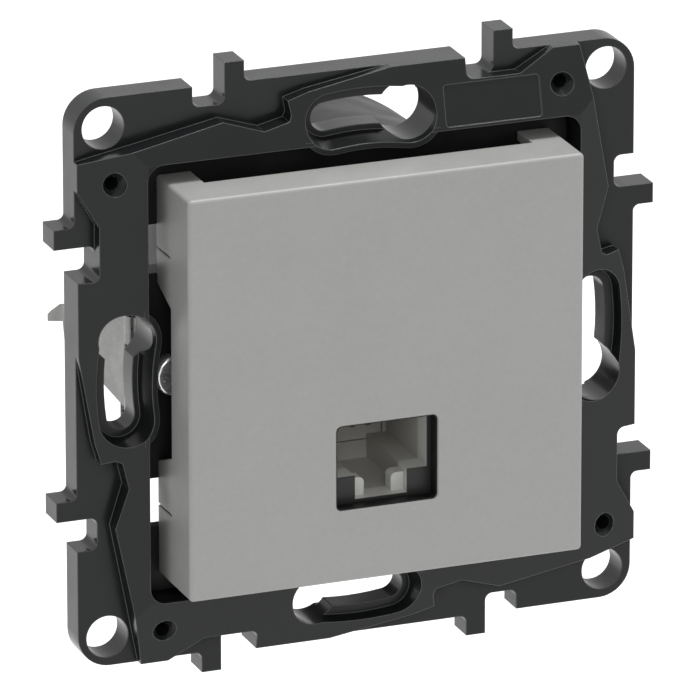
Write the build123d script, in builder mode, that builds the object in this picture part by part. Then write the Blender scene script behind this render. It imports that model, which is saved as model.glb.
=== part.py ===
from build123d import *
import math
import os

# Telephone wall socket on a one-gang support frame, in millimetres.
# The wall is the XZ plane, the room is towards -Y and the wall box towards +Y.
# A height is measured from the wall into the room, and a depth from the wall into the box.

# Support frame
opening_width = 54.4
opening_corner_radius = 2.0
side_width = 8.05
frame_corner_radius = 4.0
plate_height = 3.8
face_edge_height = 4.9
face_inner_height = 6.9
corner_hole_inset = 3.65
corner_hole_diameter = 5.2
box_relief_margin = 4.8
box_relief_depth = 0.5
tab_reach = 2.55
tab_width = 2.45
tab_foot_radius = 0.8
tab_along = (-15.28, 18.48)
notch_depth = 2.5
notch_width = 4.0
notch_radius = 0.9
pilot_hole_diameter = 1.7
pilot_rim_diameter = 3.0
pilot_hole_depth = 5.0
pilot_corner_gap = 2.05
pilot_inset = 4.15

# Keyhole fixing slots
slot_margin = 2.8
slot_width = 3.5
slot_end = 5.8
round_hole_diameter = 6.5
round_hole_shift = 0.3
pocket_width = 5.3
pocket_shift = 0.2
pocket_flare = 0.75
slot_wall = 0.65
slot_back_relief = 0.7
slot_back_length = 14.4
slot_back_width = 4.9

# Shallow bare panel and back coring of the frame
panel_slot_gap = 1.15
panel_pilot_gap = 2.85
panel_width = 5.0
panel_inset = 5.25
panel_recess = 0.2
panel_radius = 0.4
core_depth = 2.4
core_width = 1.6
core_length = 12.0
core_along = -17.0
core_inset = 6.2

# Corner ledges that the housing snaps over
ledge_width = 1.7
ledge_height = 1.5
ledge_corner_length = 15.8
ledge_side_length = 7.0

# Front cover
cover_gap = 2.4
cover_front_height = 13.8
cover_front_wall = 1.8
cover_wall = 1.4
cover_rim_depth = 6.0
cover_corner_radius = 0.5
cover_edge_radius = 0.4
skirt_wall = 1.2
leg_width = 4.2
upper_skirt_start = 9.8
lower_skirt_start = 8.8
skirt_slant = 1.8
slit_place = 16.0
slit_width = 0.3
slit_length = 4.6
window_width = 12.8
window_height = 10.6
window_radius = 0.7
window_drop = 10.6
window_edge = 0.15
catch_height = 1.2
catch_reach = 1.1
rib_width = 0.9
rib_height = 1.4
rib_place = 16.0

# Mechanism housing
deck_height = 3.1
deck_wall = 1.5
deck_margin = 1.8
band_length = 8.4
snap_clearance = 0.3
band_corner_radius = 1.8
slot_clearance = 0.35
cup_margin = 0.6
cup_draft = 3.9
cup_wall = 1.6
cup_depth = 20.5
channel_margin = 6.3
channel_width = 34.5
ear_length = 25.5
lug_gap = 13.0
sleeve_wall = 1.5
sleeve_step = 0.9
arm_width = 4.0
arm_wall = 1.4
arm_along = 8.0
arm_gap = 1.2
fit_clearance = 0.1
lug_wall = 1.7
lug_depth = 4.2
lug_reach = 1.3
lug_root = 2.3
nose_height = 1.2
nose_gap = 0.3

# Jack
jack_width = 15.2
jack_height = 13.6
jack_gap = 0.3
jack_lift = 0.2
port_width = 11.6
port_top = 4.95
port_floor = 1.85
latch_floor = 4.8
latch_width = 6.6
latch_ledge = 1.6
latch_ledge_drop = 0.7
latch_ledge_radius = 0.7
latch_ledge_start = 1.2
latch_ledge_length = 1.9
port_depth = 13.2
contact_count = 8
contact_pitch = 1.02
contact_width = 0.45
contact_thickness = 0.4
contact_bend_radius = 0.5
contact_front = 8.8
contact_lift = 0.55
contact_drop = 2.2
contact_end = 1.0
contact_groove = 0.65
contact_tail = 1.2
pin_row_drop = (3.2, 5.4)
pin_bend = 4.0
carrier_side = 1.1
carrier_foot = 7.4

# Circuit board
board_side = 2.9
board_top_margin = 13.1
board_bottom_margin = 7.6
board_depth = 8.0
board_thickness = 1.6
board_radius = 2.0
post_block_gap = 3.0
post_top_gap = 6.6
post_bottom_gap = 4.8
post_diameter = 4.0
peg_diameter = 2.0
peg_stand = 0.6
solder_hole_clearance = 0.2

# Terminal blocks and wiring cap
block_length = 19.2
block_width = 6.4
block_inner_gap = 1.6
block_lift = 4.0
block_stand = 6.5
pole_pitch = 4.4
pole_count = 4
wire_slot_width = 1.4
wire_slot_depth = 5.5
blade_width = 3.2
blade_thickness = 0.5
blade_slot_width = 0.35
blade_slot_depth = 4.4
blade_inset = 1.0
blade_clearance = 0.15
blade_tail_width = 0.8
blade_tail = 1.0
rear_cover_thickness = 1.8
rear_opening_gap = 0.7
cap_wall = 1.6
cap_end_gap = 0.4
cap_clearance = 0.4
cap_seat_gap = 0.3
cap_corner_radius = 1.0
pusher_width = 1.0
pusher_length = 3.0
cap_slot_width = 1.9
cap_slot_height = 3.6

# Rear cover fasteners
rear_screw_along = 14.5
rear_screw_margin = 8.0
rear_screw_diameter = 2.2
rear_head_diameter = 4.0
rear_head_height = 1.4
rear_screw_length = 8.0
rear_boss_diameter = 5.2

# Claw screws, nuts and claws
claw_screw_margin = 4.3
claw_screw_diameter = 3.0
claw_head_diameter = 5.0
claw_head_height = 1.6
claw_head_sink = 0.5
claw_screw_stand = 0.5
cross_width = 0.9
cross_length = 3.0
cross_depth = 0.9
running_clearance = 0.2
nut_inset = 5.9
nut_thickness = 2.4
nut_width = 5.0
nut_length = 7.6
claw_thickness = 1.2
claw_width = 12.2
claw_bend_inset = 0.9
claw_bend_reach = 0.9
claw_tip_stand = 1.9
claw_tip_reach = 1.7
claw_bend_radius = 3.0
claw_straight_depth = 4.6
claw_root_width = 4.6
claw_root_inset = 1.7
claw_tooth_top = 2.0
claw_tooth_drop = 0.9
claw_tooth_tip = 0.8
claw_tooth_cut = 0.4
claw_tooth_slope = 1.0
claw_window_depth = 4.0
claw_window_width = 5.2
pin_diameter = 1.4
pin_margin = 1.8
pin_depth = 2.1
knuckle_diameter = 3.2

# Derived places
frame_width = opening_width + 2 * side_width
frame_half = frame_width / 2
opening_half = opening_width / 2
corner_hole_spacing = frame_width - 2 * corner_hole_inset
pilot_along = opening_half - pilot_corner_gap
slot_radius = opening_half + slot_margin
round_hole_place = slot_radius - round_hole_shift
pocket_radius = slot_radius + pocket_shift
slot_wall_width = pocket_width + 2 * (pocket_flare + slot_wall)
panel_start = slot_end + round_hole_diameter / 2 + panel_slot_gap
panel_stop = pilot_along - panel_pilot_gap
cover_width = opening_width - 2 * cover_gap
cover_half = cover_width / 2
cover_inner_half = cover_half - cover_wall
rim_back_height = cover_front_height - cover_rim_depth
inner_face_height = cover_front_height - cover_front_wall
jack_face_height = inner_face_height - jack_gap
jack_middle = jack_lift - window_drop
jack_length = jack_face_height + board_depth
port_back_height = jack_face_height - port_depth
port_ceiling = port_top - window_drop
port_base = -port_floor - window_drop
ledge_rise = latch_floor - port_floor - latch_ledge_drop
band_half = opening_half - snap_clearance
board_back = board_depth + board_thickness
cap_front_depth = cup_depth + rear_cover_thickness + cap_seat_gap
block_middle = block_inner_gap + block_width / 2
deck_radius = opening_half - deck_margin
deck_back_height = deck_height - deck_wall
cup_radius = opening_half - cup_margin
cup_taper = cup_depth * math.tan(math.radians(cup_draft))
cup_back_radius = cup_radius - cup_taper
channel_floor = cup_radius - channel_margin
face_slope = (face_inner_height - face_edge_height) / (frame_half - opening_half)
slot_narrow_angle = math.degrees(math.asin((slot_end - slot_width / 2) / slot_radius))
slot_round_angle = math.degrees(math.asin(slot_end / slot_radius))
slot_start_angle = 90 - slot_round_angle
slot_arc_angle = slot_round_angle + slot_narrow_angle
pilot_face_height = face_edge_height + face_slope * pilot_inset
panel_face_height = face_edge_height + face_slope * panel_inset
arm_face = cover_inner_half - arm_gap
nose_face = cover_inner_half - snap_clearance
nose_base_height = rim_back_height + catch_height + nose_gap
contact_along = [(place - (contact_count - 1) / 2) * contact_pitch for place in range(contact_count)]
contact_groove_depth = contact_lift + contact_thickness / 2 + fit_clearance
carrier_width = contact_count * contact_pitch + 2 * carrier_side
carrier_top = port_ceiling + contact_groove_depth
carrier_height = contact_groove_depth + carrier_foot
carrier_hole_width = carrier_width + 2 * fit_clearance
carrier_hole_height = carrier_height + 2 * fit_clearance
jack_hole_width = jack_width + 2 * fit_clearance
jack_hole_height = jack_height + 2 * fit_clearance
channel_box_length = 2 * (cup_radius - channel_floor + cup_wall)
channel_box_width = channel_width + 2 * cup_wall
rear_screw_up = cup_back_radius - rear_screw_margin
post_along = block_length / 2 + post_block_gap
post_top = rear_screw_up - post_top_gap
post_bottom = rear_screw_up - post_bottom_gap
board_width = 2 * (post_along + board_side)
board_top = cup_radius - board_top_margin
board_bottom = cup_radius - board_bottom_margin
block_end_depth = cup_depth + block_stand
claw_screw_place = opening_half - claw_screw_margin
claw_screw_end = cup_depth + claw_screw_stand
nut_depth = cup_depth - nut_inset
pin_place = opening_half - pin_margin
claw_bend = (opening_half + claw_bend_reach, cup_depth - claw_bend_inset)
claw_tip = (opening_half + claw_tip_reach, cup_depth + claw_tip_stand)
claw_root_depth = cup_depth - claw_root_inset
claw_outline = [
    (0, -claw_width / 2),
    (claw_straight_depth, -claw_width / 2),
    (claw_root_depth, -claw_root_width / 2),
    (claw_root_depth + claw_tooth_cut, 0),
    (claw_tip[1], -claw_tooth_drop),
    (claw_tip[1], claw_tooth_tip - claw_tooth_drop),
    (claw_tip[1] - claw_tooth_slope, claw_tooth_tip),
    (claw_root_depth + claw_tooth_slope, claw_tooth_top),
    (claw_root_depth, claw_root_width / 2),
    (claw_straight_depth, claw_width / 2),
    (0, claw_width / 2),
]
blade_hole_width = blade_tail_width + solder_hole_clearance
blade_hole_height = blade_thickness + solder_hole_clearance
post_places = [(x, z) for x in (-post_along, post_along) for z in (post_top, -post_bottom)]
pole_along = [(place - (pole_count - 1) / 2) * pole_pitch for place in range(pole_count)]
block_middles = (block_lift + block_middle, block_lift - block_middle)
blade_places = [(along, middle) for middle in block_middles for along in pole_along]
block_span = 2 * (block_inner_gap + block_width)
rear_opening_length = block_length + 2 * rear_opening_gap
rear_opening_height = block_span + 2 * rear_opening_gap
cap_length = block_length + 2 * (cap_clearance + cap_wall)
cap_height = block_span + 2 * (cap_clearance + cap_wall)
cap_end_depth = block_end_depth + cap_end_gap + cap_wall
pusher_breadth = (block_width - blade_thickness) / 2 - 2 * blade_clearance - cap_clearance
pusher_spread = blade_thickness + 2 * blade_clearance + cap_clearance + pusher_breadth


def pin_level(place):
    """Height of the board pin of a contact. Neighbours use different rows."""
    return port_ceiling - pin_row_drop[place % 2]


def at_height(height):
    """Sketch plane parallel to the wall, facing the room."""
    return Plane.XZ.offset(height)


def at_depth(depth):
    """Sketch plane parallel to the wall, inside the wall box."""
    return Plane.XZ.offset(-depth)


def turned(points, quarter):
    """Points of one side of the frame, turned by quarters about its middle."""
    angle = -math.pi / 2 * quarter
    cosine, sine = math.cos(angle), math.sin(angle)
    return [(x * cosine - z * sine, x * sine + z * cosine) for x, z in points]


def side_points():
    """Outer edge of the raised face along one side, as places along and out from the middle."""
    left_tab, right_tab = tab_along
    notch_floor = frame_half - notch_depth
    return [
        (-opening_half + 1.0, opening_half + 2.3),
        (left_tab - 2.2, opening_half + 4.0),
        (left_tab + 2.8, opening_half + 2.4),
        (left_tab + 6.0, opening_half + 3.15),
        (left_tab + 6.3, opening_half + 3.9),
        (left_tab + 6.0, notch_floor),
        (left_tab + 8.6, notch_floor + 0.75),
        (slot_end - 1.9, frame_half),
        (right_tab - tab_width / 2 - notch_width, frame_half),
        (right_tab - notch_width / 2 - 1.4, notch_floor),
        (right_tab + 1.5, notch_floor),
        (right_tab + 5.9, frame_half),
        (opening_half + 0.6, frame_half),
    ]


def raised_outline():
    """Closed outline of the raised face, the same on each of the four sides."""
    return [point for quarter in range(4) for point in turned(side_points(), quarter)]


def near(places):
    """Filter that keeps the edges standing at any of the given places."""
    return lambda edge: any(math.dist((edge.center().X, edge.center().Z), place) < 0.01 for place in places)


def around(points):
    """The given places of one side, repeated on all four sides."""
    return [place for quarter in range(4) for place in turned(points, quarter)]


def arc_slot(radius, width):
    """Slot of the given width along the arc that a fixing screw slides in."""
    with BuildSketch(mode=Mode.PRIVATE) as slot:
        SlotArc(CenterArc((0, 0), radius, slot_start_angle, slot_arc_angle), width)
    return slot.sketch


def slot_wall_profile(gap):
    """Outline of the wall that carries a keyhole slot past the edge of the opening."""
    wall = arc_slot(pocket_radius, slot_wall_width + 2 * gap)
    with PolarLocations(0, 4):
        add(wall)


with BuildSketch(mode=Mode.PRIVATE) as keyhole:
    add(arc_slot(slot_radius, slot_width))
    with Locations((slot_end, round_hole_place)):
        Circle(round_hole_diameter / 2)

# Flared pocket round one keyhole slot
with BuildPart(mode=Mode.PRIVATE) as slot_pocket:
    with BuildSketch(at_height(plate_height)):
        add(arc_slot(pocket_radius, pocket_width))
    with BuildSketch(at_height(face_inner_height)):
        add(arc_slot(pocket_radius, pocket_width + 2 * pocket_flare))
    loft()

# Support frame: a thin plate with a raised face that slopes up to the opening
with BuildPart(mode=Mode.PRIVATE) as raised_face:
    with BuildSketch(at_height(0)):
        Rectangle(frame_width, frame_width)
    extrude(amount=face_edge_height)
    with BuildSketch(at_height(face_edge_height)):
        Rectangle(frame_width, frame_width)
    with BuildSketch(at_height(face_inner_height)):
        Rectangle(opening_width, opening_width)
    loft()
    with BuildSketch(at_height(0)):
        Polygon(*raised_outline(), align=None)
    extrude(amount=face_inner_height, mode=Mode.INTERSECT)

with BuildPart() as support_frame:
    with BuildSketch(at_height(0)):
        RectangleRounded(frame_width, frame_width, frame_corner_radius)
        with PolarLocations(0, 4):
            with Locations(*[(along, frame_half - 1) for along in tab_along]):
                Rectangle(tab_width, tab_reach + 1, align=(Align.CENTER, Align.MIN))
    extrude(amount=plate_height)
    add(raised_face.part)
    with BuildSketch(at_height(0)):
        with PolarLocations(0, 4):
            with Locations(*[(along - tab_width / 2, frame_half - notch_depth) for along in tab_along]):
                Rectangle(notch_width, notch_depth * 2, align=(Align.MAX, Align.MIN))
    extrude(amount=face_inner_height, mode=Mode.SUBTRACT)
    upright = support_frame.edges().filter_by(Axis.Y)
    tab_feet = [(along + tab_width / 2, frame_half) for along in tab_along]
    fillet(upright.filter_by(near(around(tab_feet))), tab_foot_radius)
    notch_corners = [(along - tab_width / 2 - offset, frame_half - notch_depth)
                     for along in tab_along for offset in (0, notch_width)]
    upright = support_frame.edges().filter_by(Axis.Y)
    fillet(upright.filter_by(near(around(notch_corners))), notch_radius)

    # Opening, with the walls of the four slots reaching into it
    with BuildSketch(at_height(0)):
        RectangleRounded(opening_width, opening_width, opening_corner_radius)
    extrude(amount=face_inner_height, mode=Mode.SUBTRACT)
    with BuildSketch(at_height(0)):
        slot_wall_profile(0)
        Rectangle(opening_width + 1, opening_width + 1, mode=Mode.INTERSECT)
    extrude(amount=face_inner_height - 0.1)

    # Keyhole slots at the bottom of flared pockets
    for quarter in range(4):
        add(slot_pocket.part.rotate(Axis.Y, 90 * quarter), mode=Mode.SUBTRACT)
    with BuildSketch(at_height(0)):
        with PolarLocations(0, 4):
            add(keyhole.sketch)
    extrude(amount=face_inner_height, mode=Mode.SUBTRACT)
    with BuildSketch(at_height(0)):
        with PolarLocations(0, 4):
            with Locations((0, slot_radius)):
                Rectangle(slot_back_length, slot_back_width)
    extrude(amount=slot_back_relief, mode=Mode.SUBTRACT)

    # Fixing holes in the corners and pilot holes beside them
    with Locations(at_height(plate_height)):
        with GridLocations(corner_hole_spacing, corner_hole_spacing, 2, 2):
            Hole(corner_hole_diameter / 2)
    with Locations(at_height(pilot_face_height)):
        with PolarLocations(0, 4):
            with Locations((pilot_along, frame_half - pilot_inset)):
                CounterSinkHole(pilot_hole_diameter / 2, pilot_rim_diameter / 2, pilot_hole_depth)

    # Bare shallow panel, level with the slope of the upper side
    panel_middle = ((panel_start + panel_stop) / 2, -panel_face_height, frame_half - panel_inset)
    with BuildSketch(Plane(panel_middle, (1, 0, 0), (0, -1, face_slope))):
        RectangleRounded(panel_stop - panel_start, panel_width, panel_radius)
    extrude(amount=-panel_recess, mode=Mode.SUBTRACT)

    # Round relief that clears the rim of the wall box
    with BuildSketch(at_height(0)):
        Circle(opening_half + box_relief_margin)
    extrude(amount=box_relief_depth, mode=Mode.SUBTRACT)

    # Coring from the back
    with BuildSketch(at_height(0)):
        with PolarLocations(0, 4):
            with Locations((core_along, frame_half - core_inset)):
                Rectangle(core_length, core_width)
    extrude(amount=core_depth, mode=Mode.SUBTRACT)

    # Ledges that the housing snaps over
    with BuildSketch(at_height(box_relief_depth)):
        Rectangle(opening_width + 1, opening_width + 1)
        Rectangle(opening_width - 2 * ledge_width, opening_width - 2 * ledge_width, mode=Mode.SUBTRACT)
        Rectangle(opening_width - 2 * ledge_corner_length, frame_width, mode=Mode.SUBTRACT)
        Rectangle(frame_width, opening_width - 2 * ledge_side_length, mode=Mode.SUBTRACT)
    extrude(amount=ledge_height - box_relief_depth)
support_frame.part.label = "support_frame"


# Front cover: a shallow shell with skirts and corner legs down to the housing deck
with BuildPart() as front_cover:
    with BuildSketch(at_height(rim_back_height)):
        RectangleRounded(cover_width, cover_width, cover_corner_radius)
    extrude(amount=cover_rim_depth)
    fillet(front_cover.faces().sort_by(Axis.Y)[0].edges(), cover_edge_radius)
    with BuildSketch(at_height(rim_back_height)):
        Rectangle(2 * cover_inner_half, 2 * cover_inner_half)
    extrude(amount=cover_rim_depth - cover_front_wall, mode=Mode.SUBTRACT)
    with BuildSketch(Plane.YZ.offset(-cover_half)):
        with BuildLine():
            Polyline(
                (-rim_back_height - skirt_wall, upper_skirt_start),
                (-rim_back_height, upper_skirt_start),
                (-deck_height, upper_skirt_start + skirt_slant),
                (-deck_height, cover_half - cover_corner_radius),
                (-rim_back_height - skirt_wall, cover_half - cover_corner_radius),
                close=True,
            )
        make_face()
        with BuildLine():
            Polyline(
                (-rim_back_height - skirt_wall, -lower_skirt_start),
                (-rim_back_height, -lower_skirt_start),
                (-deck_height, -lower_skirt_start - skirt_slant),
                (-deck_height, cover_corner_radius - cover_half),
                (-rim_back_height - skirt_wall, cover_corner_radius - cover_half),
                close=True,
            )
        make_face()
        with Locations((-deck_height, slit_place), (-deck_height, -slit_place)):
            Rectangle(slit_length, slit_width, align=(Align.MAX, Align.CENTER), mode=Mode.SUBTRACT)
    extrude(amount=skirt_wall)
    mirror(about=Plane.YZ)
    with BuildSketch(at_height(deck_height)):
        RectangleRounded(cover_width, cover_width, cover_corner_radius)
        Rectangle(cover_width - 2 * skirt_wall, cover_width - 2 * skirt_wall, mode=Mode.SUBTRACT)
        Rectangle(cover_width - 2 * leg_width, cover_width, mode=Mode.SUBTRACT)
        Rectangle(cover_width, cover_width - 2 * leg_width, mode=Mode.SUBTRACT)
    extrude(amount=rim_back_height - deck_height + skirt_wall)
    with BuildSketch(at_height(cover_front_height)) as window:
        with Locations((0, -window_drop)):
            RectangleRounded(window_width, window_height, window_radius)
    extrude(amount=-cover_front_wall, mode=Mode.SUBTRACT)
    chamfer(front_cover.faces().sort_by(Axis.Y)[0].inner_wires().edges(), window_edge)
    with BuildSketch(at_height(rim_back_height)):
        with GridLocations(2 * arm_along, 2 * cover_inner_half - catch_reach, 2, 2):
            Rectangle(arm_width + 1, catch_reach)
    extrude(amount=catch_height)
    with BuildSketch(at_height(inner_face_height)):
        with GridLocations(2 * rib_place, 0, 2, 1):
            Rectangle(rib_width, 2 * cover_inner_half)
    extrude(amount=-rib_height)
front_cover.part.label = "front_cover"


# Mechanism housing: a round drafted cup with an open channel on each side for the claw parts
with BuildPart(mode=Mode.PRIVATE) as cup_hollow:
    with BuildSketch(at_depth(cup_depth)):
        Circle(cup_back_radius - cup_wall)
    extrude(amount=cup_depth, taper=-cup_draft)
    with BuildSketch(at_depth(cup_depth)):
        with GridLocations(2 * cup_radius, 0, 2, 1):
            Rectangle(channel_box_length, channel_box_width)
    extrude(amount=cup_depth, mode=Mode.SUBTRACT)

with BuildPart() as mechanism_housing:
    with BuildSketch(at_depth(cup_depth)):
        Circle(cup_back_radius)
    extrude(amount=cup_depth, taper=-cup_draft)
    with BuildSketch(at_height(0)):
        Rectangle(2 * band_half, ear_length)
        with BuildSketch(mode=Mode.SUBTRACT):
            slot_wall_profile(slot_clearance)
        Circle(deck_radius)
    extrude(amount=deck_back_height)
    add(cup_hollow.part, mode=Mode.SUBTRACT)
    with BuildSketch(at_height(0)):
        Circle(deck_radius - cup_wall)
        with GridLocations(2 * cup_radius, 0, 2, 1):
            Rectangle(channel_box_length, channel_box_width, mode=Mode.SUBTRACT)
    extrude(amount=deck_back_height, mode=Mode.SUBTRACT)
    with BuildSketch(at_depth(cup_depth)):
        with GridLocations(2 * cup_radius, 0, 2, 1):
            Rectangle(2 * (cup_radius - channel_floor), channel_width)
    extrude(amount=cup_depth, mode=Mode.SUBTRACT)
    with BuildSketch(at_height(0)):
        with GridLocations(2 * claw_screw_place, 0, 2, 1):
            Circle(claw_screw_diameter / 2 + running_clearance)
    extrude(amount=deck_back_height, mode=Mode.SUBTRACT)

    # Lugs for the claw pins, beside each channel
    with BuildSketch(at_depth(lug_depth)):
        with GridLocations(2 * pin_place + lug_reach - lug_root, lug_gap + lug_wall, 2, 2):
            Rectangle(lug_reach + lug_root, lug_wall)
    extrude(amount=lug_depth)
    with BuildSketch(Plane.XY):
        with GridLocations(2 * pin_place, 0, 2, 1):
            with Locations((0, pin_depth)):
                Circle(pin_diameter / 2 + fit_clearance)
    extrude(amount=lug_gap, both=True, mode=Mode.SUBTRACT)

    # Bosses for the rear screws
    with BuildSketch(at_depth(cup_depth)):
        with GridLocations(2 * rear_screw_along, 2 * rear_screw_up, 2, 2):
            Circle(rear_boss_diameter / 2)
    extrude(amount=rear_screw_length + 1)
    with BuildSketch(at_depth(cup_depth)):
        with GridLocations(2 * rear_screw_along, 2 * rear_screw_up, 2, 2):
            Circle(rear_screw_diameter / 2 + fit_clearance / 2)
    extrude(amount=rear_screw_length, mode=Mode.SUBTRACT)
mechanism_housing.part.label = "mechanism_housing"


# Housing deck: closes the cup in front, with bands under the cover, a jack sleeve and snap arms
with BuildPart() as housing_deck:
    with BuildSketch(at_height(deck_back_height)):
        RectangleRounded(2 * band_half, 2 * band_half, band_corner_radius)
        Rectangle(frame_width, opening_width - 2 * band_length, mode=Mode.SUBTRACT)
        Rectangle(2 * band_half, ear_length)
        with BuildSketch(mode=Mode.SUBTRACT):
            slot_wall_profile(slot_clearance)
        Circle(deck_radius)
    extrude(amount=deck_wall)

    # Sleeve that carries the jack
    with BuildSketch(at_height(deck_height)):
        with Locations((0, jack_middle)):
            Rectangle(jack_hole_width + 2 * sleeve_wall, jack_hole_height + 2 * sleeve_wall)
    extrude(amount=jack_face_height - sleeve_step - deck_height)
    with BuildSketch(at_height(deck_back_height)):
        with Locations((0, jack_middle)):
            Rectangle(jack_hole_width, jack_hole_height)
    extrude(amount=jack_face_height, mode=Mode.SUBTRACT)

    # Snap arms that hold the cover, each with a sloped nose
    with BuildSketch(at_height(deck_height)):
        with GridLocations(2 * arm_along, 2 * arm_face - arm_wall, 2, 2):
            Rectangle(arm_width, arm_wall)
    extrude(amount=nose_base_height + nose_height - deck_height)
    for arm_side in (-1, 1):
        with BuildSketch(Plane.YZ.offset(arm_side * arm_along)):
            for arm_end in (-1, 1):
                Polygon(
                    (-nose_base_height, arm_end * (arm_face - 0.1)),
                    (-nose_base_height, arm_end * nose_face),
                    (-nose_base_height - nose_height, arm_end * (arm_face - 0.1)),
                    align=None,
                )
        extrude(amount=arm_width / 2, both=True)

    # Seats for the claw screws
    with Locations(at_height(deck_height)):
        with GridLocations(2 * claw_screw_place, 0, 2, 1):
            CounterBoreHole(
                claw_screw_diameter / 2 + running_clearance,
                claw_head_diameter / 2 + running_clearance,
                claw_head_sink,
                deck_wall,
            )

    # Posts and pegs for the circuit board
    with BuildSketch(at_depth(board_depth)):
        with Locations(*post_places):
            Circle(post_diameter / 2)
    extrude(amount=board_depth + deck_back_height)
    with BuildSketch(at_depth(board_back + peg_stand)):
        with Locations(*post_places):
            Circle(peg_diameter / 2)
    extrude(amount=board_thickness + peg_stand)
housing_deck.part.label = "housing_deck"


# Jack: a moulded shell with a port, a latch channel and grooves for the contacts
with BuildPart() as jack_body:
    with BuildSketch(at_depth(board_depth)):
        with Locations((0, jack_middle)):
            Rectangle(jack_width, jack_height)
    extrude(amount=jack_length)
    with BuildSketch(at_height(port_back_height)):
        with Locations((0, port_ceiling)):
            Rectangle(port_width, port_ceiling - port_base, align=(Align.CENTER, Align.MAX))
        with Locations((0, port_base)):
            Rectangle(latch_width, latch_floor - port_floor, align=(Align.CENTER, Align.MAX))
    extrude(amount=port_depth, mode=Mode.SUBTRACT)
    with BuildSketch(at_height(jack_face_height - latch_ledge_start - latch_ledge_length)) as ledges:
        with GridLocations(latch_width - latch_ledge, 0, 2, 1):
            with Locations((0, port_base - latch_ledge_drop)):
                Rectangle(latch_ledge, ledge_rise, align=(Align.CENTER, Align.MAX))
        inner_corners = ledges.vertices().filter_by(lambda v: abs(v.X) < latch_width / 2 - latch_ledge / 2)
        fillet(inner_corners.group_by(Axis.Y)[-1], latch_ledge_radius)
    extrude(amount=latch_ledge_length)
    with BuildSketch(at_depth(board_depth)):
        with Locations((0, carrier_top + fit_clearance)):
            Rectangle(carrier_hole_width, carrier_hole_height, align=(Align.CENTER, Align.MAX))
    extrude(amount=board_depth + port_back_height, mode=Mode.SUBTRACT)
    with BuildSketch(at_height(port_back_height)):
        with Locations(*[(along, port_ceiling) for along in contact_along]):
            Rectangle(contact_groove, 2 * contact_groove_depth)
    extrude(amount=contact_front + contact_thickness - port_back_height, mode=Mode.SUBTRACT)
jack_body.part.label = "jack_body"


# Contact carrier: a comb pushed into the back of the jack
with BuildPart() as contact_carrier:
    with BuildSketch(at_depth(board_depth - fit_clearance)):
        with Locations((0, carrier_top)):
            Rectangle(carrier_width, carrier_height, align=(Align.CENTER, Align.MAX))
    extrude(amount=board_depth + port_back_height - 2 * fit_clearance)
    with BuildSketch(at_depth(board_depth)):
        for place, along in enumerate(contact_along):
            with Locations((along, pin_level(place) - contact_thickness)):
                Rectangle(contact_groove, jack_height, align=(Align.CENTER, Align.MIN))
    extrude(amount=board_depth + port_back_height, mode=Mode.SUBTRACT)
contact_carrier.part.label = "contact_carrier"


def jack_contact(place):
    """One spring wire, from its pin in the board to its free end in the port."""
    with BuildPart() as contact:
        with BuildSketch(Plane.YZ.offset(contact_along[place])):
            with BuildLine():
                FilletPolyline(
                    (board_back + contact_tail, pin_level(place)),
                    (pin_bend, pin_level(place)),
                    (pin_bend, port_ceiling + contact_lift),
                    (-contact_front, port_ceiling + contact_lift),
                    (-contact_end, port_ceiling - contact_drop),
                    radius=contact_bend_radius,
                )
            trace(line_width=contact_thickness)
        extrude(amount=contact_width / 2, both=True)
    contact.part.label = f"jack_contact_{place + 1}"
    return contact.part


jack_contacts = [jack_contact(place) for place in range(contact_count)]


# Circuit board between the jack and the terminal blocks
with BuildPart() as circuit_board:
    with BuildSketch(at_depth(board_back)):
        with Locations((0, (board_top - board_bottom) / 2)):
            RectangleRounded(board_width, board_top + board_bottom, board_radius)
        with Locations(*post_places):
            Circle(peg_diameter / 2 + fit_clearance, mode=Mode.SUBTRACT)
        with Locations(*[(along, pin_level(place)) for place, along in enumerate(contact_along)]):
            Circle(contact_width / 2 + solder_hole_clearance, mode=Mode.SUBTRACT)
        with Locations(*blade_places):
            Rectangle(blade_hole_width, blade_hole_height, mode=Mode.SUBTRACT)
    extrude(amount=board_thickness)
circuit_board.part.label = "circuit_board"


def terminal_block(middle, label):
    """Block with a row of wire slots, open to the back, and a pocket for each blade."""
    with BuildPart() as block:
        with BuildSketch(at_depth(block_end_depth)):
            with Locations((0, middle)):
                Rectangle(block_length, block_width)
        extrude(amount=block_end_depth - board_back)
        with BuildSketch(at_depth(block_end_depth)):
            with Locations(*[(along, middle) for along in pole_along]):
                Rectangle(wire_slot_width, block_width)
        extrude(amount=wire_slot_depth, mode=Mode.SUBTRACT)
        with BuildSketch(at_depth(block_end_depth)):
            with Locations(*[(along, middle) for along in pole_along]):
                Rectangle(blade_width + 2 * blade_clearance, blade_thickness + 2 * blade_clearance)
        extrude(amount=block_end_depth - board_back, mode=Mode.SUBTRACT)
    block.part.label = label
    return block.part


upper_terminal_block = terminal_block(block_middles[0], "upper_terminal_block")
lower_terminal_block = terminal_block(block_middles[1], "lower_terminal_block")


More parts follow.
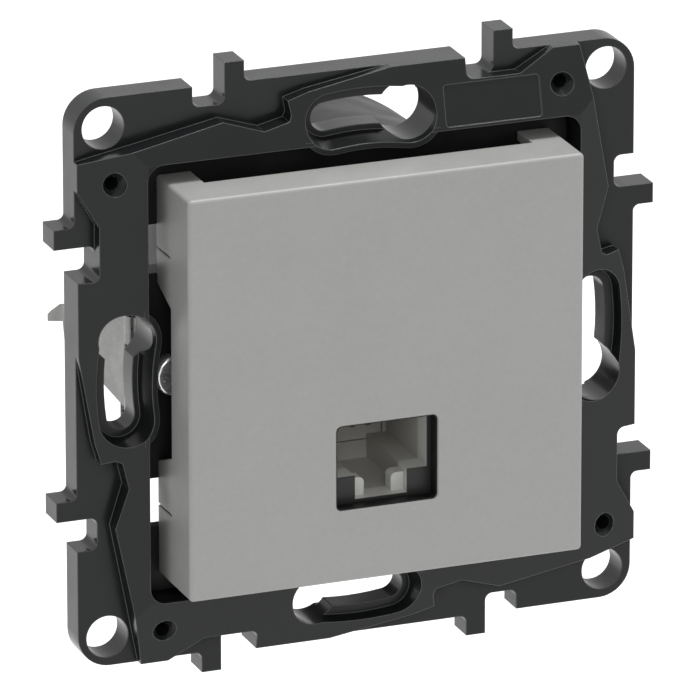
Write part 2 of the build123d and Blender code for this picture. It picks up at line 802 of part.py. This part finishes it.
def terminal_blade(place):
    """Forked blade that cuts through the insulation of a wire, with a pin into the board."""
    along, up = blade_places[place]
    blade_end = block_end_depth - blade_inset
    blade_start = board_back + blade_clearance
    with BuildPart() as blade:
        with BuildSketch(Plane.XY.offset(up)):
            with Locations((along, blade_start)):
                Rectangle(blade_width, blade_end - blade_start, align=(Align.CENTER, Align.MIN))
            with Locations((along, board_depth - blade_tail)):
                Rectangle(blade_tail_width, board_thickness + 2 * blade_tail, align=(Align.CENTER, Align.MIN))
            with Locations((along, blade_end)):
                Rectangle(
                    blade_slot_width,
                    blade_slot_depth,
                    align=(Align.CENTER, Align.MAX),
                    mode=Mode.SUBTRACT,
                )
                Polygon(
                    (-blade_width / 4, 0),
                    (blade_width / 4, 0),
                    (0, -blade_width / 4),
                    align=None,
                    mode=Mode.SUBTRACT,
                )
        extrude(amount=blade_thickness / 2, both=True)
    blade.part.label = f"terminal_blade_{place + 1}"
    return blade.part


terminal_blades = [terminal_blade(place) for place in range(len(blade_places))]


# Rear cover: a disc that closes the cup, with tubes that press on the board
with BuildPart() as rear_cover:
    with BuildSketch(at_depth(cup_depth + rear_cover_thickness)):
        Circle(cup_back_radius)
        with GridLocations(2 * cup_radius, 0, 2, 1):
            Rectangle(2 * (cup_radius - channel_floor), channel_width, mode=Mode.SUBTRACT)
        with Locations((0, block_lift)):
            Rectangle(rear_opening_length, rear_opening_height, mode=Mode.SUBTRACT)
        with GridLocations(2 * rear_screw_along, 2 * rear_screw_up, 2, 2):
            Circle(rear_screw_diameter / 2 + fit_clearance, mode=Mode.SUBTRACT)
    extrude(amount=rear_cover_thickness)
    with BuildSketch(at_depth(cup_depth)):
        with Locations(*post_places):
            Circle(post_diameter / 2)
            Circle(peg_diameter / 2 + fit_clearance, mode=Mode.SUBTRACT)
    extrude(amount=cup_depth - board_back)
rear_cover.part.label = "rear_cover"


# Screws of the rear cover, all in one node
with BuildPart() as rear_cover_screws:
    with BuildSketch(at_depth(cup_depth + rear_cover_thickness + rear_head_height)):
        with GridLocations(2 * rear_screw_along, 2 * rear_screw_up, 2, 2):
            Circle(rear_head_diameter / 2)
    extrude(amount=rear_head_height)
    with BuildSketch(at_depth(cup_depth + rear_cover_thickness)):
        with GridLocations(2 * rear_screw_along, 2 * rear_screw_up, 2, 2):
            Circle(rear_screw_diameter / 2)
    extrude(amount=rear_screw_length)
rear_cover_screws.part.label = "rear_cover_screws"


# Wiring cap: presses the wires into the blades from behind
with BuildPart() as wiring_cap:
    with BuildSketch(at_depth(cap_end_depth)):
        with Locations((0, block_lift)):
            RectangleRounded(cap_length, cap_height, cap_corner_radius)
    extrude(amount=cap_end_depth - cap_front_depth)
    with BuildSketch(at_depth(cap_end_depth - cap_wall)):
        with Locations((0, block_lift)):
            Rectangle(block_length + 2 * cap_clearance, block_span + 2 * cap_clearance)
    extrude(amount=cap_end_depth - cap_wall - cap_front_depth, mode=Mode.SUBTRACT)
    with BuildSketch(at_depth(cap_front_depth + cap_slot_height)):
        with Locations(*[(along, block_lift) for along in pole_along]):
            Rectangle(cap_slot_width, cap_height)
    extrude(amount=cap_slot_height, mode=Mode.SUBTRACT)
    with BuildSketch(at_depth(cap_end_depth - cap_wall)):
        with Locations(*blade_places):
            with GridLocations(0, pusher_spread, 1, 2):
                Rectangle(pusher_width, pusher_breadth)
    extrude(amount=pusher_length)
wiring_cap.part.label = "wiring_cap"


def claw_parts(side, name):
    """Screw, nut, pin and claw of one side. Side is -1 on the left and 1 on the right."""
    screw_place = side * claw_screw_place
    with BuildPart() as screw:
        with BuildSketch(at_depth(claw_screw_end)):
            with Locations((screw_place, 0)):
                Circle(claw_screw_diameter / 2)
        extrude(amount=claw_screw_end + deck_height - claw_head_sink)
        with BuildSketch(at_height(deck_height - claw_head_sink)):
            with Locations((screw_place, 0)):
                Circle(claw_head_diameter / 2)
        extrude(amount=claw_head_height)
        fillet(screw.faces().sort_by(Axis.Y)[0].edges(), claw_head_height / 3)
        with BuildSketch(at_height(deck_height - claw_head_sink + claw_head_height)):
            with Locations((screw_place, 0)):
                Rectangle(cross_width, cross_length)
                Rectangle(cross_length, cross_width)
        extrude(amount=-cross_depth, mode=Mode.SUBTRACT)
    with BuildPart() as nut:
        with BuildSketch(at_depth(nut_depth + nut_thickness)):
            with Locations((screw_place, 0)):
                Rectangle(nut_width, nut_length)
                Circle(claw_screw_diameter / 2 + fit_clearance, mode=Mode.SUBTRACT)
        extrude(amount=nut_thickness)
    with BuildPart() as pin:
        with BuildSketch(Plane.XY):
            with Locations((side * pin_place, pin_depth)):
                Circle(pin_diameter / 2)
        extrude(amount=lug_gap / 2 + lug_wall - fit_clearance, both=True)
    with BuildPart() as claw:
        with BuildSketch(Plane.XY):
            with BuildLine():
                FilletPolyline(
                    (side * pin_place, pin_depth),
                    (side * claw_bend[0], claw_bend[1]),
                    (side * claw_tip[0], claw_tip[1]),
                    radius=claw_bend_radius,
                )
            trace(line_width=claw_thickness)
            with Locations((side * pin_place, pin_depth)):
                Circle(knuckle_diameter / 2)
                Circle(pin_diameter / 2 + fit_clearance, mode=Mode.SUBTRACT)
        extrude(amount=claw_width / 2, both=True)
        with BuildSketch(Plane.YZ):
            Polygon(*claw_outline, align=None)
            Rectangle(2 * claw_window_depth, claw_window_width, mode=Mode.SUBTRACT)
        extrude(amount=side * frame_half, mode=Mode.INTERSECT)
    screw.part.label = f"claw_screw_{name}"
    nut.part.label = f"claw_nut_{name}"
    pin.part.label = f"claw_pin_{name}"
    claw.part.label = f"claw_{name}"
    return [screw.part, nut.part, pin.part, claw.part]


pieces = [
    support_frame.part,
    front_cover.part,
    mechanism_housing.part,
    housing_deck.part,
    jack_body.part,
    contact_carrier.part,
    *jack_contacts,
    circuit_board.part,
    upper_terminal_block,
    lower_terminal_block,
    *terminal_blades,
    rear_cover.part,
    rear_cover_screws.part,
    wiring_cap.part,
    *claw_parts(-1, "left"),
    *claw_parts(1, "right"),
]

os.makedirs("parts", exist_ok=True)
for piece in pieces:
    export_step(piece, f"parts/{piece.label}.step")
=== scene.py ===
"""Dresses the telephone wall socket: camera, plain studio light and procedural materials."""

import math

import bpy
from mathutils import Matrix, Vector


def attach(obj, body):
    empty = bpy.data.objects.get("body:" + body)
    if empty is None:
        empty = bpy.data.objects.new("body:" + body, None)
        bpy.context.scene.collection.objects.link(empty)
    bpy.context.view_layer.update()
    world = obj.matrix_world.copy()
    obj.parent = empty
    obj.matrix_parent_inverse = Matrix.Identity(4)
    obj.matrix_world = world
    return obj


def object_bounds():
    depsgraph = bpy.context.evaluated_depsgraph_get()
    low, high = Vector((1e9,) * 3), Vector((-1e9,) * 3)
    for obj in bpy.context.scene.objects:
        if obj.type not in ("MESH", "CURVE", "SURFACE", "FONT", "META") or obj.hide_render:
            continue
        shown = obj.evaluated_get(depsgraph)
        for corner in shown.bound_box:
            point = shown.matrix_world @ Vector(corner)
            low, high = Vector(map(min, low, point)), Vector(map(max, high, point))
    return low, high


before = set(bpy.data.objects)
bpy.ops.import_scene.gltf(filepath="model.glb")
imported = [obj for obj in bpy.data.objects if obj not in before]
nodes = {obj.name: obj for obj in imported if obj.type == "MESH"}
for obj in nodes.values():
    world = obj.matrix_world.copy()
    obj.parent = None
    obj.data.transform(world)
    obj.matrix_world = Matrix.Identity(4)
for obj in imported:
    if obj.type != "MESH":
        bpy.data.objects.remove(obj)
cad_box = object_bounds()

# ---- camera: a long lens from the front left and above, in pixels of the picture
IMAGE = 696
FOCAL = 10325.0
SENSOR_WIDTH = 36.0
AZIMUTH = math.radians(-21.19)
ELEVATION = math.radians(19.32)
ROLL = math.radians(-0.03)
DISTANCE = 1.2229
ORIGIN_PIXEL = (345.03, 342.04)

look = Vector((
    -math.sin(AZIMUTH) * math.cos(ELEVATION),
    math.cos(AZIMUTH) * math.cos(ELEVATION),
    -math.sin(ELEVATION),
))
right = Vector((math.cos(AZIMUTH), math.sin(AZIMUTH), 0.0))
up = right.cross(look)
level_right = right * math.cos(ROLL) + up * math.sin(ROLL)
level_up = up * math.cos(ROLL) - right * math.sin(ROLL)
metres_per_pixel = DISTANCE / FOCAL
offset_right = IMAGE / 2 - ORIGIN_PIXEL[0]
offset_down = IMAGE / 2 - ORIGIN_PIXEL[1]
aim = (level_right * offset_right - level_up * offset_down) * metres_per_pixel
camera_data = bpy.data.cameras.new("camera")
camera_data.sensor_width = SENSOR_WIDTH
camera_data.lens = FOCAL * SENSOR_WIDTH / IMAGE
camera_data.clip_end = 20.0
camera = bpy.data.objects.new("camera", camera_data)
bpy.context.scene.collection.objects.link(camera)
rotation = Matrix((level_right, level_up, -look)).transposed().to_4x4()
camera.matrix_world = Matrix.Translation(aim - look * DISTANCE) @ rotation
bpy.context.scene.camera = camera
bpy.context.scene.view_settings.view_transform = "Standard"


# ---- node helpers
SOFT_SAMPLES = 6


def new_material(name):
    material = bpy.data.materials.new(name)
    material.use_nodes = True
    tree = material.node_tree
    tree.nodes.clear()
    output = tree.nodes.new("ShaderNodeOutputMaterial")
    shader = tree.nodes.new("ShaderNodeBsdfPrincipled")
    tree.links.new(shader.outputs["BSDF"], output.inputs["Surface"])
    return material, tree, shader


def noise(tree, coordinates, scale, detail=3.0, roughness=0.5):
    node = tree.nodes.new("ShaderNodeTexNoise")
    node.inputs["Scale"].default_value = scale
    node.inputs["Detail"].default_value = detail
    node.inputs["Roughness"].default_value = roughness
    tree.links.new(coordinates, node.inputs["Vector"])
    return node.outputs["Fac"]


def spread(tree, value, low, high, start=0.3, end=0.7):
    """Maps start..end to low..high, clamped at both ends."""
    node = tree.nodes.new("ShaderNodeMapRange")
    node.inputs["From Min"].default_value = start
    node.inputs["From Max"].default_value = end
    node.inputs["To Min"].default_value = low
    node.inputs["To Max"].default_value = high
    tree.links.new(value, node.inputs["Value"])
    return node.outputs["Result"]


def blend_colours(tree, factor, first, second):
    node = tree.nodes.new("ShaderNodeMix")
    node.data_type = "RGBA"
    tree.links.new(factor, node.inputs["Factor"])
    for socket, colour in (("A", first), ("B", second)):
        target = [i for i in node.inputs if i.name == socket and i.type == "RGBA"][0]
        if hasattr(colour, "links"):
            tree.links.new(colour, target)
        else:
            target.default_value = (*colour, 1.0)
    return [o for o in node.outputs if o.type == "RGBA"][0]


def bump(tree, height, strength, distance, normal=None):
    node = tree.nodes.new("ShaderNodeBump")
    node.inputs["Strength"].default_value = strength
    node.inputs["Distance"].default_value = distance
    tree.links.new(height, node.inputs["Height"])
    if normal is not None:
        tree.links.new(normal, node.inputs["Normal"])
    return node.outputs["Normal"]


def softened_edges(tree, radius):
    node = tree.nodes.new("ShaderNodeBevel")
    node.samples = SOFT_SAMPLES
    node.inputs["Radius"].default_value = radius
    return node.outputs["Normal"]


def edge_mask(tree, soft_normal):
    """0 on flat faces, towards 1 where the softened normal turns away at an edge."""
    geometry = tree.nodes.new("ShaderNodeNewGeometry")
    dot = tree.nodes.new("ShaderNodeVectorMath")
    dot.operation = "DOT_PRODUCT"
    tree.links.new(soft_normal, dot.inputs[0])
    tree.links.new(geometry.outputs["Normal"], dot.inputs[1])
    return spread(tree, dot.outputs["Value"], 1.0, 0.0, 0.75, 0.995)


def openness(tree, reach):
    """1 in the open, towards 0 in grooves, holes and gaps."""
    node = tree.nodes.new("ShaderNodeAmbientOcclusion")
    node.samples = SOFT_SAMPLES
    node.inputs["Distance"].default_value = reach
    return node.outputs["AO"]


PLASTIC_PATCH = 70.0
PLASTIC_GRAIN_DEPTH = 0.000012
# painted shade in hollows: reach of the occlusion and the share of specular shine left there
HOLLOW_REACH = 0.0025
HOLLOW_SPECULAR = 0.25


def moulded_plastic(name, colour, edge_wear_and_highlight, roughness, grain=2600.0, edge=0.00014, specular=0.5, mottle=0.05):
    """Moulded plastic: fine eroded grain, slow tone changes, rounded edges made paler along their rims: a
    little wear and a painted highlight.

    Grooves and gaps shine less than open faces: painted shade, the specular level turned down there by
    ambient occlusion.
    """
    material, tree, shader = new_material(name)
    coordinates = tree.nodes.new("ShaderNodeTexCoord").outputs["Object"]
    tone = noise(tree, coordinates, PLASTIC_PATCH, 4.0, 0.6)
    speckle = noise(tree, coordinates, grain * 0.6, 2.0, 0.6)
    darker = tuple(c * (1.0 - mottle) for c in colour)
    lighter = tuple(min(1.0, c * (1.0 + mottle)) for c in colour)
    fleck = tuple(c * 1.15 for c in colour)
    body = blend_colours(tree, spread(tree, tone, 0.0, 1.0, 0.35, 0.65), darker, lighter)
    flecked = blend_colours(tree, spread(tree, speckle, 0.0, 0.35, 0.45, 0.8), body, fleck)
    soft = softened_edges(tree, edge)
    # paler rims: a little wear and a painted highlight along every edge
    wear_and_highlight_edges = blend_colours(tree, edge_mask(tree, soft), flecked, edge_wear_and_highlight)
    tree.links.new(wear_and_highlight_edges, shader.inputs["Base Color"])
    polish = noise(tree, coordinates, PLASTIC_PATCH * 3.0, 3.0, 0.55)
    sheen = spread(tree, polish, roughness - 0.05, roughness + 0.06, 0.35, 0.65)
    tree.links.new(sheen, shader.inputs["Roughness"])
    grain_height = noise(tree, coordinates, grain, 3.0, 0.65)
    grained = bump(tree, grain_height, 0.5, PLASTIC_GRAIN_DEPTH, soft)
    tree.links.new(grained, shader.inputs["Normal"])
    # painted shade: ambient occlusion turns the specular shine down in grooves, holes and gaps
    open_share = openness(tree, HOLLOW_REACH)
    painted_hollow_shade = spread(tree, open_share, specular * HOLLOW_SPECULAR, specular, 0.35, 0.85)
    tree.links.new(painted_hollow_shade, shader.inputs["Specular IOR Level"])
    return material


# Depths, on the way into the jack, over which its colour changes; the change from the paler lining to the
# darker colour further in is painted light and shade
FACE_TO_LINING = (-0.01166, -0.01154)
LIT_TO_SHADED_DEPTHS = (-0.0089, -0.0086)
JACK_FACE_COLOUR = (0.02, 0.02, 0.0195)
LIT_LINING_COLOUR = (0.58, 0.58, 0.56)
SHADED_DEEP_COLOUR = (0.41, 0.41, 0.39)
CLOUD_COLOUR = (0.42, 0.42, 0.4)


def jack_plastic(name):
    """Dark mouth of the jack, with a paler lining just behind it that dims with depth: the paler lining and
    its dimming are painted light and shade.
    """
    material, tree, shader = new_material(name)
    coordinates = tree.nodes.new("ShaderNodeTexCoord").outputs["Object"]
    split = tree.nodes.new("ShaderNodeSeparateXYZ")
    tree.links.new(coordinates, split.inputs["Vector"])
    behind_face = spread(tree, split.outputs["Y"], 0.0, 1.0, *FACE_TO_LINING)
    # painted light and shade: the lining is paler near the mouth and darker further in
    painted_depth_shade = spread(tree, split.outputs["Y"], 0.0, 1.0, *LIT_TO_SHADED_DEPTHS)
    tone = noise(tree, coordinates, 180.0, 3.0, 0.6)
    lit_and_shaded_lining = blend_colours(tree, painted_depth_shade, LIT_LINING_COLOUR, SHADED_DEEP_COLOUR)
    clouded = blend_colours(tree, spread(tree, tone, 0.0, 0.25), lit_and_shaded_lining, CLOUD_COLOUR)
    soft = softened_edges(tree, 0.0002)
    two_tone = blend_colours(tree, behind_face, JACK_FACE_COLOUR, clouded)
    tree.links.new(two_tone, shader.inputs["Base Color"])
    tree.links.new(spread(tree, tone, 0.34, 0.46), shader.inputs["Roughness"])
    grain_height = noise(tree, coordinates, 2400.0, 3.0, 0.6)
    tree.links.new(bump(tree, grain_height, 0.4, 0.00001, soft), shader.inputs["Normal"])
    shine = spread(tree, behind_face, 0.27, 0.35, 0.0, 1.0)
    tree.links.new(shine, shader.inputs["Specular IOR Level"])
    return material


DRAWN_LINES = (900.0, 900.0, 9000.0)
METAL_EDGE = 0.0001


def bright_metal(name, colour, stain, roughness, depth=0.000008, metallic=1.0):
    """Plated metal: fine drawn lines, cloudy plating and rounded edges."""
    material, tree, shader = new_material(name)
    coordinates = tree.nodes.new("ShaderNodeTexCoord").outputs["Object"]
    mapping = tree.nodes.new("ShaderNodeMapping")
    mapping.inputs["Scale"].default_value = DRAWN_LINES
    tree.links.new(coordinates, mapping.inputs["Vector"])
    lines = noise(tree, mapping.outputs["Vector"], 1.0, 3.0, 0.6)
    cloud = noise(tree, coordinates, 260.0, 4.0, 0.6)
    plating = blend_colours(tree, spread(tree, cloud, 0.0, 1.0), stain, colour)
    tree.links.new(plating, shader.inputs["Base Color"])
    tree.links.new(spread(tree, lines, roughness - 0.08, roughness + 0.12), shader.inputs["Roughness"])
    drawn = bump(tree, lines, 0.4, depth, softened_edges(tree, METAL_EDGE))
    tree.links.new(drawn, shader.inputs["Normal"])
    shader.inputs["Metallic"].default_value = metallic
    return material


# ---- materials
# the second colour of each moulded plastic is its edge colour: a little wear and a painted highlight
black = moulded_plastic(
    "frame_black", (0.011, 0.0118, 0.0122), (0.18, 0.182, 0.185), 0.2, edge=0.0002, specular=0.24)
grey = moulded_plastic(
    "cover_grey", (0.345, 0.345, 0.335), (0.47, 0.47, 0.455), 0.42, grain=2200.0, edge=0.0004, mottle=0.015)
housing_black = moulded_plastic(
    "housing_black", (0.008, 0.008, 0.0085), (0.02, 0.02, 0.021), 0.45, specular=0.2)
jack_grey = jack_plastic("jack_grey")
carrier_grey = moulded_plastic("carrier_grey", (0.45, 0.45, 0.44), (0.5, 0.5, 0.49), 0.4)
white = moulded_plastic("terminal_white", (0.68, 0.68, 0.65), (0.75, 0.75, 0.72), 0.35)
cap_grey = moulded_plastic(
    "cap_grey", (0.42, 0.44, 0.46), (0.5, 0.52, 0.54), 0.22, grain=1200.0, specular=0.6)
zinc = bright_metal(
    "zinc_plate", (0.92, 0.92, 0.92), (0.8, 0.8, 0.81), 0.2, depth=0.000002, metallic=0.8)
claw_zinc = bright_metal(
    "claw_plate", (0.24, 0.24, 0.235), (0.17, 0.17, 0.165), 0.3, depth=0.000003)
gold = bright_metal("gold_plate", (0.85, 0.62, 0.25), (0.7, 0.48, 0.17), 0.22)
tinned = bright_metal("tinned_bronze", (0.75, 0.72, 0.66), (0.58, 0.54, 0.47), 0.35)


def board_material():
    """Solder mask over a faint glass weave."""
    material, tree, shader = new_material("board_green")
    coordinates = tree.nodes.new("ShaderNodeTexCoord").outputs["Object"]
    weave = tree.nodes.new("ShaderNodeTexWave")
    weave.wave_type = "BANDS"
    weave.bands_direction = "X"
    weave.inputs["Scale"].default_value = 420.0
    weave.inputs["Distortion"].default_value = 1.5
    tree.links.new(coordinates, weave.inputs["Vector"])
    cloud = noise(tree, coordinates, 300.0, 3.0)
    tone = blend_colours(tree, spread(tree, cloud, 0.0, 1.0), (0.012, 0.09, 0.035), (0.02, 0.14, 0.055))
    tree.links.new(tone, shader.inputs["Base Color"])
    tree.links.new(spread(tree, cloud, 0.2, 0.34), shader.inputs["Roughness"])
    tree.links.new(bump(tree, weave.outputs["Fac"], 0.2, 0.00001), shader.inputs["Normal"])
    return material


board = board_material()

finish = {
    "support_frame": black,
    "front_cover": grey,
    "mechanism_housing": housing_black,
    "housing_deck": housing_black,
    "jack_body": jack_grey,
    "contact_carrier": carrier_grey,
    "circuit_board": board,
    "upper_terminal_block": white,
    "lower_terminal_block": white,
    "rear_cover": housing_black,
    "wiring_cap": cap_grey,
}
for name, piece in nodes.items():
    if name.startswith("jack_contact"):
        chosen = gold
    elif name.startswith("terminal_blade"):
        chosen = tinned
    elif name in ("claw_left", "claw_right"):
        chosen = claw_zinc
    elif name.startswith("claw") or name == "rear_cover_screws":
        chosen = zinc
    else:
        chosen = finish[name]
    piece.data.materials.clear()
    piece.data.materials.append(chosen)


# ---- painted shade: a thin dark sleeve inside the window in the cover, darkening its inner wall
def rounded_loop(width, height, radius, steps=6):
    """Points of a rounded rectangle, counter-clockwise seen from the room."""
    loop = []
    for quarter, (sx, sz) in enumerate(((1, 1), (-1, 1), (-1, -1), (1, -1))):
        for step in range(steps + 1):
            angle = math.radians(90 * (quarter + step / steps))
            loop.append((sx * (width / 2 - radius) + radius * math.cos(angle),
                         sz * (height / 2 - radius) + radius * math.sin(angle)))
    return loop


WINDOW_WIDTH = 0.0128
WINDOW_HEIGHT = 0.0106
WINDOW_RADIUS = 0.0007
WINDOW_CENTRE = -0.0106
SHADE_SLEEVE_FIT = 0.00002
SHADE_SLEEVE_WALL = 0.00016
SHADE_SLEEVE_FRONT = -0.01355
SHADE_SLEEVE_BACK = -0.01205
outer_loop, inner_loop = (
    rounded_loop(WINDOW_WIDTH - 2 * inset, WINDOW_HEIGHT - 2 * inset, WINDOW_RADIUS - inset)
    for inset in (SHADE_SLEEVE_FIT, SHADE_SLEEVE_WALL)
)
rings = [
    (outer_loop, SHADE_SLEEVE_FRONT),
    (inner_loop, SHADE_SLEEVE_FRONT),
    (inner_loop, SHADE_SLEEVE_BACK),
    (outer_loop, SHADE_SLEEVE_BACK),
]
points = [(x, y, z + WINDOW_CENTRE) for loop, y in rings for x, z in loop]
count = len(outer_loop)
faces = []
for ring in range(len(rings)):
    start = ring * count
    following = (ring + 1) % len(rings) * count
    for i in range(count):
        j = (i + 1) % count
        faces.append((start + i, following + i, following + j, start + j))
shade_sleeve_mesh = bpy.data.meshes.new("window_shade_sleeve")
shade_sleeve_mesh.from_pydata(points, [], faces)
# a dark sheet on the window's inner wall, standing in for shade there
lining = bpy.data.objects.new("window_shade_sleeve", shade_sleeve_mesh)
bpy.context.scene.collection.objects.link(lining)
lining.data.materials.append(housing_black)
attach(lining, "base")


# ---- room: white to the eye and in reflections, plain light on the object
def seen_as_white(tree, lit_socket):
    path = tree.nodes.new("ShaderNodeLightPath")
    seen = path.outputs["Is Camera Ray"]
    for name in ("Is Glossy Ray", "Is Transmission Ray"):
        both = tree.nodes.new("ShaderNodeMath")
        both.operation = "MAXIMUM"
        tree.links.new(seen, both.inputs[0])
        tree.links.new(path.outputs[name], both.inputs[1])
        seen = both.outputs["Value"]
    mixer = tree.nodes.new("ShaderNodeMixShader")
    tree.links.new(seen, mixer.inputs["Fac"])
    tree.links.new(lit_socket, mixer.inputs[1])
    return mixer


WHITE = (1.0, 1.0, 1.0, 1.0)
ROOM_LIGHT = 0.45
ROOM_SEEN = 1.0
world = bpy.data.worlds.new("room")
world.use_nodes = True
bpy.context.scene.world = world
room = world.node_tree
room.nodes.clear()
room_output = room.nodes.new("ShaderNodeOutputWorld")
dim = room.nodes.new("ShaderNodeBackground")
dim.inputs["Color"].default_value = WHITE
dim.inputs["Strength"].default_value = ROOM_LIGHT
bright = room.nodes.new("ShaderNodeBackground")
bright.inputs["Color"].default_value = WHITE
bright.inputs["Strength"].default_value = ROOM_SEEN
room_mix = seen_as_white(room, dim.outputs["Background"])
room.links.new(bright.outputs["Background"], room_mix.inputs[2])
room.links.new(room_mix.outputs["Shader"], room_output.inputs["Surface"])


def area_light(name, place, size, power):
    data = bpy.data.lights.new(name, "AREA")
    data.shape = "SQUARE"
    data.size = size
    data.energy = power
    light = bpy.data.objects.new(name, data)
    bpy.context.scene.collection.objects.link(light)
    light.location = place
    light.rotation_euler = (-Vector(place)).to_track_quat("-Z", "Y").to_euler()


area_light("top", (0.2, 0.0, 0.88), 0.26, 6.2)
area_light("key", (-0.25, -0.87, 0.42), 0.3, 1.8)
area_light("fill", (0.7, -0.6, 0.0), 0.4, 0.7)

# ---- floor, well below the object
HALF = 3.0
FLOOR_GAP = 0.04
FLOOR_PAINT = (0.8, 0.8, 0.8, 1.0)
FLOOR_LIFT = 0.5
level = cad_box[0][2] - FLOOR_GAP
floor_corners = [(-HALF, -HALF, level), (HALF, -HALF, level), (HALF, HALF, level), (-HALF, HALF, level)]
floor_mesh = bpy.data.meshes.new("floor")
floor_mesh.from_pydata(floor_corners, [], [(0, 1, 2, 3)])
floor = bpy.data.objects.new("floor", floor_mesh)
bpy.context.scene.collection.objects.link(floor)
floor_material = bpy.data.materials.new("floor_white")
floor_material.use_nodes = True
floor_tree = floor_material.node_tree
floor_tree.nodes.clear()
floor_output = floor_tree.nodes.new("ShaderNodeOutputMaterial")
floor_paint = floor_tree.nodes.new("ShaderNodeBsdfDiffuse")
floor_paint.inputs["Color"].default_value = FLOOR_PAINT
floor_lift = floor_tree.nodes.new("ShaderNodeEmission")
floor_lift.inputs["Color"].default_value = WHITE
floor_lift.inputs["Strength"].default_value = FLOOR_LIFT
floor_sum = floor_tree.nodes.new("ShaderNodeAddShader")
floor_tree.links.new(floor_paint.outputs["BSDF"], floor_sum.inputs[0])
floor_tree.links.new(floor_lift.outputs["Emission"], floor_sum.inputs[1])
floor_mix = seen_as_white(floor_tree, floor_paint.outputs["BSDF"])
floor_tree.links.new(floor_sum.outputs["Shader"], floor_mix.inputs[2])
floor_tree.links.new(floor_mix.outputs["Shader"], floor_output.inputs["Surface"])
floor.data.materials.append(floor_material)
